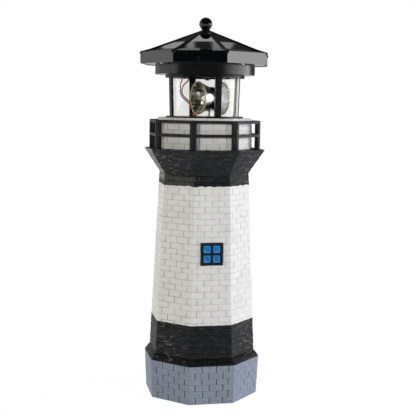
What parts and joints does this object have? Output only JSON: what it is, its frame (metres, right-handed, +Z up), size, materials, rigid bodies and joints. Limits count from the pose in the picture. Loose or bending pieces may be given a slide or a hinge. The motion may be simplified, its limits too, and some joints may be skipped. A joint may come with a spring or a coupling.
{
  "type": "garden lighthouse ornament",
  "caption": "Cast brick lighthouse with a gallery and a lift-off solar lantern head, in which a small geared motor turns back-to-back reflectors.",
  "frame": {"origin": "centre of the plinth's underside", "axes": "+Z up; the wall with the window faces -Y"},
  "size_m": [0.127, 0.127, 0.36],
  "materials": {
    "cast_stone": "painted cast resin with brick relief",
    "gallery_black": "satin black",
    "lantern_black": "glossy black",
    "roof_black": "glossy black",
    "clear_cylinder": "clear and smooth",
    "seal_rubber": "matt",
    "solar_cell": "glossy near-black cell under resin",
    "screw_steel": "zinc plated",
    "inner_plastic": "matt dark grey",
    "cell_sleeve": "printed film sleeve, unmarked",
    "spring_steel": "nickel plated",
    "board_green": "solder mask",
    "gear_plastic": "moulded acetal",
    "lead_red": "insulated lead",
    "lead_black": "insulated lead",
    "drive_steel": "bright steel",
    "bush_brass": "turned",
    "brush_copper": "spring bronze",
    "reflector_chrome": "bright plated",
    "led_lens": "clear epoxy"
  },
  "bodies": {
    "tower": {"tower_casting": "cast_stone", "gallery_railing": "gallery_black"},
    "head": {"lantern_frame": "lantern_black", "lantern_glass": "clear_cylinder", "glass_seal": "seal_rubber", "battery_housing": "lantern_black", "roof_shell": "roof_black", "solar_cells": "solar_cell", "roof_screws": "screw_steel", "housing_screws": "screw_steel", "battery_cradle": "inner_plastic", "battery_cell": "cell_sleeve", "battery_contacts": "spring_steel", "circuit_board": "board_green", "board_screws": "screw_steel", "switch_body": "inner_plastic", "wire_grommets": "seal_rubber", "red_lead": "lead_red", "black_lead": "lead_black", "gear_plate": "drive_steel", "plate_screws": "screw_steel", "drive_motor": "drive_steel", "drive_cover": "lantern_black", "cover_screws": "screw_steel", "floor_bush": "bush_brass", "plate_bush": "bush_brass", "idler_pin": "drive_steel", "brush_block": "inner_plastic", "brushes": "brush_copper"},
    "rotor": {"rotor_shaft": "drive_steel", "rotor_gear": "gear_plastic", "slip_ring": "bush_brass", "reflector_hub": "reflector_chrome", "reflectors": "reflector_chrome", "led_lamps": "led_lens"},
    "idler": {"idler_gear": "gear_plastic"},
    "motor_rotor": {"motor_shaft": "drive_steel", "motor_pinion": "bush_brass"},
    "knob": {"switch_knob": "gear_plastic"}
  },
  "joints": [
    {"name": "head_lift", "type": "slide", "parent": "tower", "child": "head", "axis": [0, 0, 1], "range_m": [0, 0.05]},
    {"name": "rotor_spin", "type": "hinge", "parent": "head", "child": "rotor", "pos_m": [0.00471, -0.00094, 0.2843], "axis": [0, 0, 1], "continuous": true},
    {"name": "idler_spin", "type": "hinge", "parent": "head", "child": "idler", "pos_m": [-0.00616, 0.00764, 0.26], "axis": [0, 0, 1], "continuous": true},
    {"name": "pinion_spin", "type": "hinge", "parent": "head", "child": "motor_rotor", "pos_m": [-0.01216, -0.00349, 0.26], "axis": [0, 0, 1], "continuous": true},
    {"name": "switch_slide", "type": "slide", "parent": "head", "child": "knob", "axis": [0.9932, 0.1167, 0], "range_m": [0, 0.0024]}
  ],
  "couplings": [
    {"joint": "idler_spin", "follows": "rotor_spin", "ratio": -3.6},
    {"joint": "pinion_spin", "follows": "rotor_spin", "ratio": 11.52}
  ]
}
